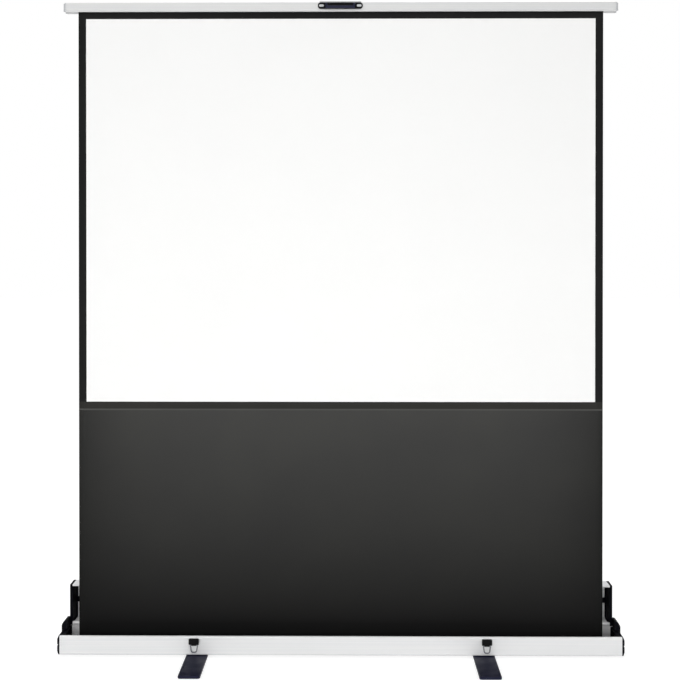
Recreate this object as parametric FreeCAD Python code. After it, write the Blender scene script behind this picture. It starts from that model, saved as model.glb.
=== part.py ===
import FreeCAD, Part
import math
import os

# Portable floor-standing projection screen, raised for use, in millimetres.
# X runs to the right as the audience sees it, Y away from the audience, Z up.
# The origin is on the floor, half way between the pivots of the two swivel feet.

os.makedirs("parts", exist_ok=True)
Vector = FreeCAD.Vector

# Clearances shared by the whole product
gap = 0.3
fit = 0.05
overrun = 4.0
shortest_line = 0.001

# Screen fabric
view_width = 1600.0
side_border = 24.0
fabric_thickness = 0.5
fabric_setback = 30.0
wrap_thickness = 1.0
batten_radius = 3.2

# Base case
case_margin = 56.5
tray_height = 60.0
tray_wall = 2.2
tray_floor = 2.5
tray_corner = 5.0
rim_width = 6.0
rim_thickness = 3.0
screw_port_radius = 4.2
base_screw_radius = 2.0
base_screw_head_radius = 4.2
base_screw_head_height = 2.0
base_screw_length = 18.0
base_screw_sink = 4.6
cap_thickness = 8.5
cap_spigot = 12.0
cap_spigot_wall = 2.5
cap_edge = 7.0
cap_roll_height = 13.0
cap_roll_depth = 5.5
cap_roll_radius = 14.0
cap_groove = 6.0
cap_groove_depth = 3.0
ear_length = 7.5
ear_height = 27.0
ear_depth = 67.0
ear_root = 20.0
ear_lean = 8.0
ear_front_radius = 14.0
ear_shoulder_height = 13.0
ear_shoulder_depth = 7.0
ear_shoulder_radius = 10.0
ear_corner = 2.0

# Hinge between tray and lid
hinge_bead_radius = 4.5
hinge_channel_wall = 2.0
hinge_rise = 6.0
hinge_neck = 2.2
hinge_open_edge = -15.0
hinge_closed_edge = 105.0
hinge_pin_radius = 2.0
hinge_pin_reach = 8.0

# Lid
lid_depth = 69.0
lid_wall = 2.0
lid_corner = 9.0
lid_lip = 5.0
lid_rim_gap = 0.5
lid_cap_thickness = 8.0
lid_cap_spigot = 4.0
lid_cap_wall = 3.0
lid_rib_height = 2.4
lid_rib_width = 2.0
lid_rib_pitch = 12.0
lid_rib_count = 4
lid_boss_length = 30.0
lid_boss_height = 16.0
lid_boss_depth = 8.0
keeper_width = 22.0
keeper_depth = 9.0
keeper_height = 4.0
keeper_hook = 2.0

# Roller
roller_radius = 19.0
roller_wall = 1.4
roller_height = 27.5
roller_overhang = 8.0
plug_depth = 22.0
plug_flange = 2.0
spindle_radius = 5.0
spindle_length = 460.0
spring_wire = 2.0
spring_radius = 11.0
spring_turns = 14
spring_length = 260.0
spring_boss_length = 30.0
bush_radius = 7.5
bracket_thickness = 3.0
bracket_width = 46.0
bracket_top = 12.0
bracket_foot = 16.0
bracket_gap = 3.0
bracket_corner = 8.0

# Scissor
raised_angle = 62.3
arm_width = 22.0
arm_thickness = 8.0
arm_gap = 2.6
arm_groove_width = 9.0
arm_groove_depth = 1.2
arm_groove_margin = 30.0
roller_clearance = 5.5
rear_room = 27.75
folded_shoe_inset = 90.5
pin_height = 19.5
pin_radius = 4.0
pin_head_radius = 7.5
pin_head_height = 2.0
head_taper_share = 0.8
slot_end_share = 0.998
disc_radius = 10.5
clevis_wall = 3.0
clevis_half_length = 20.0
clevis_plate = 2.0
cheek_radius = 9.0
rail_head_width = 12.0
rail_head_thickness = 2.5
rail_web_width = 5.0
rail_web_height = 2.5
rail_end_margin = 28.0
shoe_half_length = 22.0
shoe_roof = 2.8
shoe_wall = 3.0
fold_height = 51.2

# Top bar
bar_margin = 38.0
bar_height = 29.0
bar_depth = 38.0
bar_top = 2056.0
bar_cover = 7.0
bar_wall = 1.6
bar_corner = 3.0
bar_lip_height = 6.0
bar_lip_depth = 1.2
keder_radius = 3.9
keder_slot = 2.0
bar_cap_thickness = 8.0
bar_cap_spigot = 10.0
bar_cap_corner = 5.0
track_thickness = 3.0
track_flange = 22.0
track_flange_thickness = 2.2
track_rear = 6.0
track_screw_count = 5

# Pull handle on the top bar
handle_width = 141.0
handle_height = 20.0
handle_plate = 4.0
handle_drop = 1.0
handle_end_share = 0.95
saddle_width = 132.0
saddle_depth = 26.0
saddle_thickness = 4.0
saddle_corner = 6.0
rivet_width = 15.0
rivet_height = 7.0
rivet_thickness = 1.4
rivet_shank = 1.6
rivet_spread = 59.0
lug_inset = 46.0
lug_thickness = 3.0
lug_radius = 4.0
grip_height = 8.0
grip_depth = 9.0
grip_arm = 5.0
grip_pin_radius = 1.5

# Latches
latch_spread = 458.0
latch_width = 32.0
latch_height = 22.0
latch_drop = 7.2
latch_plate = 1.5
latch_corner = 2.0
knuckle_radius = 2.6
knuckle_half_length = 5.5
lever_lug_width = 3.0
lever_pin_radius = 1.2
lever_thickness = 2.4
sleeve_half_length = 7.4
bail_wire = 1.6
bail_top_width = 25.5
bail_bottom_width = 19.0
bail_length = 23.0
bail_corner = 3.6

# Swivel feet
foot_spread = 450.0
foot_reach = 200.0
foot_width = 67.0
foot_thickness = 7.7
foot_corner = 9.0
foot_bevel = 2.0
foot_rim = 7.0
foot_recess = 1.2
foot_boss_radius = 24.0
pad_thickness = 2.0
pad_length = 60.0
pad_inset = 12.0
foot_bolt_radius = 4.0
foot_bolt_head_radius = 7.0
foot_bolt_head_height = 4.0
foot_washer_radius = 10.0
foot_washer_thickness = 1.5
foot_washer_clearance = 3.85
foot_nut_radius = 9.0
foot_nut_height = 4.0

# Heights and depths that follow from the sizes above
tray_bottom = pad_thickness + foot_thickness + gap
tray_rim = tray_bottom + tray_height
floor_top = tray_bottom + tray_floor
fabric_width = view_width + 2 * side_border
case_end = fabric_width / 2 + case_margin
cap_end = case_end + cap_thickness
bar_length = fabric_width + 2 * bar_margin

shoe_half_depth = rail_head_width / 2 + gap + shoe_wall
roller_setback = fabric_setback + fabric_thickness / 2 + gap + wrap_thickness + roller_radius
rail_setback = roller_setback + roller_radius + wrap_thickness + roller_clearance + shoe_half_depth
front_arm_setback = rail_setback - arm_thickness / 2
rear_arm_setback = front_arm_setback + arm_thickness + arm_gap
case_depth = rear_arm_setback + arm_thickness + gap + clevis_wall + rear_room
case_front = -case_depth / 2
case_rear = case_depth / 2
fabric_y = case_front + fabric_setback
roller_y = case_front + roller_setback
rail_y = case_front + rail_setback
front_arm_y = case_front + front_arm_setback
rear_arm_y = case_front + rear_arm_setback
foot_y = rail_y - rail_head_width / 2 - foot_washer_clearance - foot_washer_radius

bar_bottom = bar_top - bar_height
bar_front = fabric_y - bar_cover
bar_rear = bar_front + bar_depth

hinge_channel_radius = hinge_bead_radius + fit + hinge_channel_wall
hinge_y = case_rear - hinge_channel_radius
hinge_z = tray_rim + hinge_rise
ear_inner = cap_end - cap_thickness - ear_length
lid_end = ear_inner - gap
lid_shell_end = lid_end - lid_cap_thickness
lid_top = hinge_z + hinge_y - case_front
lid_front = hinge_y - hinge_rise + lid_rim_gap
lid_rear = lid_front + lid_depth
lid_bottom = hinge_z - hinge_neck / 2

roller_z = floor_top + roller_height
roller_end = fabric_width / 2 + roller_overhang
bracket_inner = roller_end + plug_flange + bracket_gap
bracket_screw_x = bracket_inner - bracket_foot / 2
spring_boss_radius = spring_radius - spring_wire / 2 - gap
spring_boss_start = -roller_end + plug_depth + spring_boss_length

base_pin_z = floor_top + pin_height
track_bottom = bar_top - track_thickness
top_pin_z = track_bottom - pin_height
arm_length = (top_pin_z - base_pin_z) / (2 * math.sin(math.radians(raised_angle)))
arm_spread = arm_length * math.cos(math.radians(raised_angle))
knee_z = (base_pin_z + top_pin_z) / 2
folded_angle = math.degrees(math.asin(fold_height / (2 * arm_length)))
folded_shoe_x = case_end - folded_shoe_inset
fixed_pin_x = folded_shoe_x - arm_length * math.cos(math.radians(folded_angle))
shoe_x = fixed_pin_x + arm_spread
centre_pin_x = fixed_pin_x + arm_spread / 2

handle_z = bar_top - handle_drop - handle_height / 2
handle_front = bar_front - handle_plate
grip_axis_y = handle_front - gap - lug_radius
grip_axis_z = handle_z + handle_height / 2 - lug_radius - handle_drop

latch_top = tray_rim - latch_drop
latch_bottom = latch_top - latch_height
latch_y = case_front - latch_plate - gap - knuckle_radius
lever_z = latch_top - knuckle_radius
bail_z = latch_bottom + knuckle_radius

foot_front = case_front - foot_reach
foot_rear = 2 * foot_y - foot_front
foot_top = pad_thickness + foot_thickness


# Basic shapes
def block(x0, x1, y0, y1, z0, z1):
    low = Vector(min(x0, x1), min(y0, y1), min(z0, z1))
    return Part.makeBox(abs(x1 - x0), abs(y1 - y0), abs(z1 - z0), low)


def rod_x(x0, x1, y, z, radius):
    return Part.makeCylinder(radius, abs(x1 - x0), Vector(min(x0, x1), y, z), Vector(1, 0, 0))


def rod_y(y0, y1, x, z, radius):
    return Part.makeCylinder(radius, abs(y1 - y0), Vector(x, min(y0, y1), z), Vector(0, 1, 0))


def rod_z(z0, z1, x, y, radius):
    return Part.makeCylinder(radius, abs(z1 - z0), Vector(x, y, min(z0, z1)), Vector(0, 0, 1))


def on_yz(a, b):
    return Vector(0, a, b)


def on_xz(a, b):
    return Vector(a, 0, b)


def on_xy(a, b):
    return Vector(a, b, 0)


# A closed outline through (a, b, corner radius) points, round corners as true arcs
def outline(points, plane):
    corners = []
    count = len(points)
    for index, (a, b, radius) in enumerate(points):
        here = plane(a, b)
        before = plane(*points[index - 1][:2]) - here
        after = plane(*points[(index + 1) % count][:2]) - here
        if radius == 0:
            corners.append((here, None, here))
            continue
        before.normalize()
        after.normalize()
        half = before.getAngle(after) / 2
        reach = radius / math.tan(half)
        bisector = before + after
        bisector.normalize()
        middle = here + bisector * (radius / math.sin(half) - radius)
        corners.append((here + before * reach, middle, here + after * reach))
    edges = []
    for index, (start, middle, end) in enumerate(corners):
        if middle is not None:
            edges.append(Part.Arc(start, middle, end).toShape())
        following = corners[(index + 1) % count][0]
        if (following - end).Length > shortest_line:
            edges.append(Part.LineSegment(end, following).toShape())
    return Part.Face(Part.Wire(edges))


def extrude_x(points, x0, x1):
    face = outline(points, on_yz)
    face.translate(Vector(min(x0, x1), 0, 0))
    return face.extrude(Vector(abs(x1 - x0), 0, 0))


def extrude_y(points, y0, y1):
    face = outline(points, on_xz)
    face.translate(Vector(0, min(y0, y1), 0))
    return face.extrude(Vector(0, abs(y1 - y0), 0))


def extrude_z(points, z0, z1):
    face = outline(points, on_xy)
    face.translate(Vector(0, 0, min(z0, z1)))
    return face.extrude(Vector(0, 0, abs(z1 - z0)))


# Corner list of a rectangle with one corner radius
def rectangle(a0, a1, b0, b1, radius=0):
    return [(a0, b0, radius), (a1, b0, radius), (a1, b1, radius), (a0, b1, radius)]


# Slot shape with full round ends, along the first axis of its plane
def slot_points(a0, a1, b, half_width):
    end_radius = half_width * slot_end_share
    return rectangle(a0 - half_width, a1 + half_width, b - half_width, b + half_width, end_radius)


def joined(shapes):
    result = shapes[0].fuse(shapes[1:]) if len(shapes) > 1 else shapes[0]
    return result.removeSplitter()


def mirrored(shape):
    return shape.mirror(Vector(0, 0, 0), Vector(1, 0, 0))


def group(shapes):
    return Part.makeCompound(shapes)


def save(node, shape):
    shape.exportStep("parts/" + node + ".step")


# Screw with a coned head, its tip at the origin and its head towards +Z
def screw(radius, head_radius, head_height, length):
    shank = rod_z(0, length, 0, 0, radius)
    head = Part.makeCone(head_radius, head_radius * head_taper_share, head_height, Vector(0, 0, length))
    return joined([shank, head])


# Turns a shape made along +Z so that +Z points along the given direction, then places it
def aimed(shape, direction, place):
    turned = shape.copy()
    turned.Placement = FreeCAD.Placement(place, FreeCAD.Rotation(Vector(0, 0, 1), direction))
    return turned


# Base case
def hinge_channel():
    ring = rod_x(-lid_shell_end, lid_shell_end, hinge_y, hinge_z, hinge_channel_radius)
    ring = ring.cut(rod_x(-case_end, case_end, hinge_y, hinge_z, hinge_bead_radius + fit))
    reach = 3 * hinge_channel_radius
    first = math.radians(hinge_open_edge)
    last = math.radians(hinge_closed_edge)
    middle = (first + last) / 2
    mouth = [(hinge_y, hinge_z, 0)]
    for angle in (first, middle, last):
        mouth.append((hinge_y + reach * math.cos(angle), hinge_z + reach * math.sin(angle), 0))
    return ring.cut(extrude_x(mouth, -case_end, case_end))


def screw_port(y, z):
    port = rod_x(-case_end, case_end, y, z, screw_port_radius)
    return port.cut(rod_x(-case_end, case_end, y, z, base_screw_radius))


def tray_ports():
    inset = tray_wall + screw_port_radius - fit
    low = floor_top + screw_port_radius - fit
    return [(case_front + inset, low), (case_rear - inset, low)]


def base_tray():
    profile = rectangle(case_front, case_rear, tray_bottom, tray_rim, tray_corner)
    outer = extrude_x(profile, -case_end, case_end)
    hollow = extrude_x(
        [
            (case_front + tray_wall, floor_top, tray_corner - tray_wall),
            (case_rear - tray_wall, floor_top, tray_corner - tray_wall),
            (case_rear - tray_wall, tray_rim + overrun, 0),
            (case_front + rim_width, tray_rim + overrun, 0),
            (case_front + rim_width, tray_rim - rim_thickness, 0),
            (case_front + tray_wall, tray_rim - rim_thickness, 0),
        ],
        -case_end,
        case_end,
    )
    tray = outer.cut(hollow)
    root = block(
        -lid_shell_end,
        lid_shell_end,
        case_rear - tray_wall,
        case_rear,
        tray_rim - hinge_rise,
        lid_bottom - gap,
    )
    bore = rod_x(-case_end, case_end, hinge_y, hinge_z, hinge_bead_radius + hinge_channel_wall / 2)
    shapes = [tray, root.cut(bore), hinge_channel()]
    shapes += [screw_port(y, z) for y, z in tray_ports()]
    whole = joined(shapes)
    tools = []
    for side in (-1, 1):
        tools.append(rod_z(0, tray_rim, side * foot_spread, foot_y, foot_bolt_radius + fit))
    for y, z in tray_ports():
        tools.append(rod_x(-case_end, case_end, y, z, base_screw_radius))
    for x, z in latch_rivet_places():
        tools.append(rod_y(case_front - overrun, case_front + tray_wall + overrun, x, z, rivet_shank + fit))
    return whole.cut(tools)


def ear():
    low = tray_rim - ear_root
    top = tray_rim + ear_height
    front = case_rear - ear_depth
    seen_from_front = extrude_y(
        [
            (case_end, low, 0),
            (cap_end, low, 0),
            (cap_end, top - ear_shoulder_height, ear_shoulder_radius),
            (cap_end - ear_shoulder_depth, top, ear_shoulder_radius),
            (ear_inner, top, ear_corner),
            (ear_inner, tray_rim, 0),
            (case_end, tray_rim, 0),
        ],
        front,
        case_rear,
    )
    seen_from_side = extrude_x(
        [
            (front, low, 0),
            (case_rear, low, 0),
            (case_rear, top, hinge_channel_radius),
            (front + ear_lean, top, ear_front_radius),
        ],
        ear_inner,
        cap_end,
    )
    seen_from_above = extrude_z(
        [
            (ear_inner, front, ear_corner),
            (cap_end, front, cap_edge),
            (cap_end, case_rear, cap_edge),
            (ear_inner, case_rear, ear_corner),
        ],
        low,
        top,
    )
    return seen_from_front.common(seen_from_side).common(seen_from_above)


def cap_plate():
    seen_from_side = rectangle(case_front, case_rear, tray_bottom, tray_rim, tray_corner)
    seen_from_front = [
        (case_end, tray_bottom, 0),
        (cap_end - cap_roll_depth, tray_bottom, 0),
        (cap_end, tray_bottom + cap_roll_height, cap_roll_radius),
        (cap_end, tray_rim - cap_roll_height, cap_roll_radius),
        (cap_end - cap_roll_depth, tray_rim, 0),
        (case_end, tray_rim, 0),
    ]
    seen_from_above = [
        (case_end, case_front, 0),
        (cap_end, case_front, cap_edge),
        (cap_end, case_rear, cap_edge),
        (case_end, case_rear, 0),
    ]
    plate = extrude_x(seen_from_side, case_end, cap_end)
    plate = plate.common(extrude_y(seen_from_front, case_front, case_rear))
    return plate.common(extrude_z(seen_from_above, tray_bottom, tray_rim))


def right_base_cap():
    plate = cap_plate()
    middle = (tray_bottom + tray_rim) / 2
    groove = block(
        cap_end - cap_groove_depth,
        cap_end + overrun,
        case_front - overrun,
        case_rear + overrun,
        middle - cap_groove / 2,
        middle + cap_groove / 2,
    )
    plate = plate.cut(groove)
    inset = tray_wall
    low = floor_top
    high = tray_rim - rim_thickness
    spigot = extrude_x(
        rectangle(case_front + inset, case_rear - inset, low, high, tray_corner - tray_wall),
        case_end - cap_spigot,
        case_end,
    )
    inner = extrude_x(
        rectangle(
            case_front + inset + cap_spigot_wall,
            case_rear - inset - cap_spigot_wall,
            low + cap_spigot_wall,
            high - cap_spigot_wall,
            0,
        ),
        case_end - cap_spigot - overrun,
        case_end,
    )
    spigot = spigot.cut(inner)
    for y, z in tray_ports():
        spigot = spigot.cut(rod_x(case_end - cap_spigot - overrun, case_end, y, z, screw_port_radius + gap))
    cap = joined([plate, spigot, ear()])
    tools = [rod_x(lid_end, ear_inner + hinge_pin_reach + gap, hinge_y, hinge_z, hinge_pin_radius + fit)]
    head_start = cap_end - base_screw_sink - base_screw_head_height
    for y, z in tray_ports():
        tools.append(rod_x(case_end - fit, cap_end + overrun, y, z, base_screw_radius + fit))
        tools.append(rod_x(head_start, cap_end + overrun, y, z, base_screw_head_radius + gap))
    return cap.cut(tools)


def base_cap_screws():
    shapes = []
    start = cap_end - base_screw_sink - base_screw_head_height - base_screw_length
    shank_radius = base_screw_radius - fit
    for y, z in tray_ports():
        one = screw(shank_radius, base_screw_head_radius, base_screw_head_height, base_screw_length)
        shapes.append(aimed(one, Vector(1, 0, 0), Vector(start, y, z)))
    return shapes + [mirrored(shape) for shape in shapes]


# Feet
def foot(x):
    ends = rectangle(x - foot_width / 2, x + foot_width / 2, foot_front, foot_rear, foot_corner)
    body = extrude_z(ends, pad_thickness, foot_top)
    top_edges = [edge for edge in body.Edges if edge.BoundBox.ZMin > foot_top - fit]
    body = body.makeChamfer(foot_bevel, top_edges)
    inner = rectangle(
        x - foot_width / 2 + foot_rim,
        x + foot_width / 2 - foot_rim,
        foot_front + foot_rim,
        foot_rear - foot_rim,
        foot_corner / 2,
    )
    recess = extrude_z(inner, foot_top - foot_recess, foot_top + overrun)
    recess = recess.cut(rod_z(0, foot_top + overrun, x, foot_y, foot_boss_radius))
    body = body.cut(recess)
    tools = [
        rod_z(0, foot_top + overrun, x, foot_y, foot_bolt_radius + fit),
        rod_z(0, pad_thickness + foot_nut_height + gap, x, foot_y, foot_nut_radius + gap),
    ]
    return body.cut(tools)


def foot_pads(x):
    shapes = []
    for side, end in ((-1, foot_front), (1, foot_rear)):
        outer = end - side * pad_inset
        inner = outer - side * pad_length
        points = rectangle(
            x - foot_width / 2 + pad_inset,
            x + foot_width / 2 - pad_inset,
            min(inner, outer),
            max(inner, outer),
            foot_corner / 2,
        )
        shapes.append(extrude_z(points, 0, pad_thickness))
    return group(shapes)


def foot_bolts():
    shapes = []
    for side in (-1, 1):
        x = side * foot_spread
        under_head = floor_top + foot_washer_thickness
        shank = rod_z(pad_thickness, under_head + foot_bolt_head_height, x, foot_y, foot_bolt_radius)
        head = Part.makeCone(
            foot_bolt_head_radius,
            foot_bolt_head_radius - foot_bolt_head_height / 4,
            foot_bolt_head_height,
            Vector(x, foot_y, under_head),
        )
        nut = rod_z(pad_thickness, pad_thickness + foot_nut_height, x, foot_y, foot_nut_radius)
        shapes.append(joined([shank, head, nut]))
    return group(shapes)


def foot_washers():
    shapes = []
    top = floor_top + foot_washer_thickness
    for side in (-1, 1):
        x = side * foot_spread
        disc = rod_z(floor_top, top, x, foot_y, foot_washer_radius)
        shapes.append(disc.cut(rod_z(0, tray_rim, x, foot_y, foot_bolt_radius + fit)))
    return group(shapes)


# Latches
def latch_base(x):
    half = latch_width / 2 - latch_corner / 2
    plate_front = case_front - latch_plate
    plate = extrude_y(
        rectangle(x - half, x + half, latch_bottom + latch_corner, latch_top, latch_corner),
        plate_front,
        case_front,
    )
    shapes = [plate]
    for side in (-1, 1):
        inner = x + side * (knuckle_half_length + gap)
        outer = inner + side * lever_lug_width
        eye = rod_x(inner, outer, latch_y, lever_z, knuckle_radius)
        web = block(inner, outer, latch_y, plate_front, lever_z - knuckle_radius, lever_z + knuckle_radius)
        shapes.append(joined([eye, web]))
    half_pin = knuckle_half_length + gap + lever_lug_width
    tools = [rod_x(x - half_pin, x + half_pin, latch_y, lever_z, lever_pin_radius + fit)]
    for rivet_x, z in latch_rivet_places():
        tools.append(rod_y(plate_front - overrun, case_front + overrun, rivet_x, z, rivet_shank + fit))
    return joined(shapes).cut(tools)


def lever_pin(x):
    half = knuckle_half_length + gap + lever_lug_width
    return rod_x(x - half, x + half, latch_y, lever_z, lever_pin_radius)


def latch_lever(x):
    half = latch_width / 2
    back = latch_y - knuckle_radius - gap
    front = back - lever_thickness
    flap_low = bail_z + knuckle_radius
    flap = extrude_y(
        rectangle(x - half, x + half, flap_low, latch_top - gap, latch_corner),
        front,
        back,
    )
    flap = flap.makeFillet(
        lever_thickness / 3,
        [edge for edge in flap.Edges if edge.BoundBox.YMax < front + fit],
    )
    knuckle = rod_x(x - knuckle_half_length, x + knuckle_half_length, latch_y, lever_z, knuckle_radius)
    knuckle_web = block(
        x - knuckle_half_length,
        x + knuckle_half_length,
        front + lever_thickness / 2,
        latch_y,
        lever_z - knuckle_radius,
        lever_z + knuckle_radius / 2,
    )
    sleeve = rod_x(x - sleeve_half_length, x + sleeve_half_length, latch_y, bail_z, knuckle_radius)
    sleeve_web = block(
        x - sleeve_half_length,
        x + sleeve_half_length,
        front + lever_thickness / 2,
        latch_y + knuckle_radius / 2,
        bail_z,
        flap_low + knuckle_radius,
    )
    body = joined([flap, knuckle, knuckle_web, sleeve, sleeve_web])
    tools = [
        rod_x(x - half, x + half, latch_y, lever_z, lever_pin_radius + fit),
        rod_x(x - half, x + half, latch_y, bail_z, bail_wire + fit),
    ]
    return body.cut(tools)


# Wire ring that turns in the lever's lower edge and hangs below it
def latch_bail(x):
    top = bail_top_width / 2 - bail_wire
    bottom = bail_bottom_width / 2 - bail_wire
    low = bail_z - bail_length
    ring = outline(
        [
            (x - top, bail_z, bail_corner),
            (x - bottom, low, bail_corner * 2),
            (x + bottom, low, bail_corner * 2),
            (x + top, bail_z, bail_corner),
        ],
        on_xz,
    )
    path = ring.OuterWire
    path.translate(Vector(0, latch_y, 0))
    start = path.OrderedEdges[0]
    place = start.valueAt(start.FirstParameter)
    heading = start.tangentAt(start.FirstParameter)
    section = Part.Wire(Part.Circle(place, heading, bail_wire).toShape())
    return path.makePipeShell([section], True, False)


def latch_rivet_places():
    z = (latch_top + latch_bottom) / 2
    offset = latch_width / 2 - latch_corner * 2
    return [(side * latch_spread + way * offset, z) for side in (-1, 1) for way in (-1, 1)]


def latch_rivets():
    shapes = []
    inner = case_front + tray_wall
    for x, z in latch_rivet_places():
        shank = rod_y(case_front - latch_plate, inner, x, z, rivet_shank)
        head = rod_y(inner, inner + rivet_shank, x, z, rivet_shank * 2)
        shapes.append(joined([shank, head]))
    return group(shapes)


# Roller and the spring inside it
def roller_tube():
    tube = rod_x(-roller_end, roller_end, roller_y, roller_z, roller_radius)
    return tube.cut(rod_x(-roller_end, roller_end, roller_y, roller_z, roller_radius - roller_wall))


def wound_fabric():
    half = fabric_width / 2
    turns = rod_x(-half, half, roller_y, roller_z, roller_radius + wrap_thickness)
    return turns.cut(rod_x(-half, half, roller_y, roller_z, roller_radius + fit))


def roller_plug(side, bore):
    inner = side * (roller_end - plug_depth)
    edge = side * roller_end
    outer = side * (roller_end + plug_flange)
    plug = rod_x(inner, edge, roller_y, roller_z, roller_radius - roller_wall - fit)
    flange = rod_x(edge, outer, roller_y, roller_z, roller_radius)
    body = joined([plug, flange])
    return body.cut(rod_x(inner, outer, roller_y, roller_z, bore))


# The right plug carries a pin that turns in the bush of its bracket
def right_plug():
    body = roller_plug(1, spindle_radius)
    pin = rod_x(
        roller_end - plug_depth,
        bracket_inner + bracket_thickness,
        roller_y,
        roller_z,
        spindle_radius,
    )
    return joined([body, pin])


def spring_spindle():
    start = -bracket_inner - bracket_thickness
    rod = rod_x(start, -roller_end + spindle_length, roller_y, roller_z, spindle_radius)
    boss_end = spring_boss_start + spring_boss_length
    boss = rod_x(spring_boss_start, boss_end, roller_y, roller_z, spring_boss_radius)
    flat = block(
        start - fit,
        -bracket_inner + gap,
        roller_y - spindle_radius,
        roller_y + spindle_radius,
        roller_z - spindle_radius,
        roller_z - spindle_radius / 2,
    )
    upper_flat = flat.copy()
    upper_flat.translate(Vector(0, 0, spindle_radius * 3 / 2))
    return joined([rod, boss]).cut([flat, upper_flat])


def spindle_hole():
    round_hole = rod_x(-roller_end, -cap_end, roller_y, roller_z, spindle_radius + fit)
    flats = block(
        -roller_end,
        -cap_end,
        roller_y - 2 * spindle_radius,
        roller_y + 2 * spindle_radius,
        roller_z - spindle_radius / 2 - fit,
        roller_z + spindle_radius / 2 + fit,
    )
    return round_hole.common(flats)


def bush_hole():
    return rod_x(roller_end, cap_end, roller_y, roller_z, bush_radius + fit)


def torsion_spring():
    pitch = spring_length / spring_turns
    helix = Part.makeHelix(pitch, spring_length, spring_radius)
    section = Part.Wire(Part.Circle(Vector(spring_radius, 0, 0), Vector(0, 1, 0), spring_wire / 2).toShape())
    coil = Part.Wire(helix.Edges).makePipeShell([section], True, True)
    coil.rotate(Vector(0, 0, 0), Vector(0, 1, 0), 90)
    coil.translate(Vector(spring_boss_start + spring_wire, roller_y, roller_z))
    return coil


def roller_bracket(side, hole):
    inner = side * bracket_inner
    outer = inner + side * bracket_thickness
    points = [
        (roller_y - bracket_width / 2, floor_top, 0),
        (roller_y + bracket_width / 2, floor_top, 0),
        (roller_y + bracket_width / 2, roller_z + bracket_top, bracket_corner),
        (roller_y - bracket_width / 2, roller_z + bracket_top, bracket_corner),
    ]
    upright = extrude_x(points, inner, outer)
    flange = block(
        inner,
        inner - side * bracket_foot,
        roller_y - bracket_width / 2,
        roller_y + bracket_width / 2,
        floor_top,
        floor_top + bracket_thickness,
    )
    body = joined([upright, flange]).cut(hole)
    for y in bracket_screw_places():
        body = body.cut(rod_z(0, tray_rim, side * bracket_screw_x, y, base_screw_radius + fit))
    return body


def bracket_screw_places():
    offset = bracket_width / 2 - bracket_corner
    return [roller_y - offset, roller_y + offset]


def bracket_screws():
    shapes = []
    length = bracket_thickness
    for side in (-1, 1):
        for y in bracket_screw_places():
            one = screw(base_screw_radius, base_screw_head_radius, base_screw_head_height, length)
            one.translate(Vector(side * bracket_screw_x, y, floor_top))
            shapes.append(one)
    return shapes


def bearing_bush():
    outer = bracket_inner + bracket_thickness
    body = rod_x(bracket_inner, outer, roller_y, roller_z, bush_radius)
    return body.cut(rod_x(roller_end, outer + overrun, roller_y, roller_z, spindle_radius + fit))


# Scissor arms, pins and discs
def arm(x, z, angle, y):
    half = arm_width / 2
    body = extrude_y(slot_points(0, arm_length, 0, half), y, y + arm_thickness)
    grooves = []
    for part in (0, 1):
        start = part * arm_length / 2 + arm_groove_margin
        end = (part + 1) * arm_length / 2 - arm_groove_margin
        points = slot_points(start, end, 0, arm_groove_width / 2)
        grooves.append(extrude_y(points, y - overrun, y + arm_groove_depth))
        grooves.append(extrude_y(points, y + arm_thickness - arm_groove_depth, y + arm_thickness + overrun))
    holes = [rod_y(y, y + arm_thickness, place * arm_length / 2, 0, pin_radius + fit) for place in (0, 1, 2)]
    body = body.cut(grooves + holes)
    body.rotate(Vector(0, 0, 0), Vector(0, 1, 0), -angle)
    body.translate(Vector(x, 0, z))
    return body


def pivot_rivet(x, z, y0, y1):
    front = y0 - gap
    back = y1 + gap
    shank = rod_y(front, back, x, z, pin_radius)
    heads = []
    for start, outward in ((front, -1), (back, 1)):
        head = Part.makeCone(
            pin_head_radius,
            pin_head_radius * head_taper_share,
            pin_head_height,
            Vector(x, start, z),
            Vector(0, outward, 0),
        )
        heads.append(head)
    return joined([shank] + heads)


def cross_rivet(x, z):
    return pivot_rivet(x, z, front_arm_y, rear_arm_y + arm_thickness)


def friction_disc(x, z):
    start = front_arm_y + arm_thickness + gap
    disc = rod_y(start, rear_arm_y - gap, x, z, disc_radius)
    return disc.cut(rod_y(start, rear_arm_y, x, z, pin_radius + fit))


# Clevis round one arm: two cheeks joined by a plate, seated on a floor or under a roof
def clevis(x, pin_z, arm_y, seat_z, half_length):
    shapes = []
    up = 1 if pin_z > seat_z else -1
    plate_end = seat_z + up * clevis_plate
    front = arm_y - gap - clevis_wall
    back = arm_y + arm_thickness + gap
    for start in (front, back):
        cheek = joined([
            rod_y(start, start + clevis_wall, x, pin_z, cheek_radius),
            block(x - cheek_radius, x + cheek_radius, start, start + clevis_wall, seat_z, pin_z),
        ])
        shapes.append(cheek)
    shapes.append(block(x - half_length, x + half_length, front, back + clevis_wall, seat_z, plate_end))
    body = joined(shapes)
    return body.cut(rod_y(front, back + clevis_wall, x, pin_z, pin_radius + fit))


def clevis_rivet(x, z, arm_y):
    return pivot_rivet(x, z, arm_y - gap - clevis_wall, arm_y + arm_thickness + gap + clevis_wall)


# T-shaped rail, web on the given surface and head away from it
def rail(x0, x1, y, surface_z, up):
    web_end = surface_z + up * rail_web_height
    head_end = web_end + up * rail_head_thickness
    web = block(x0, x1, y - rail_web_width / 2, y + rail_web_width / 2, surface_z, web_end)
    head = block(x0, x1, y - rail_head_width / 2, y + rail_head_width / 2, web_end, head_end)
    return joined([web, head])


def rail_span():
    return shoe_x - rail_end_margin, folded_shoe_x + rail_end_margin


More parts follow.
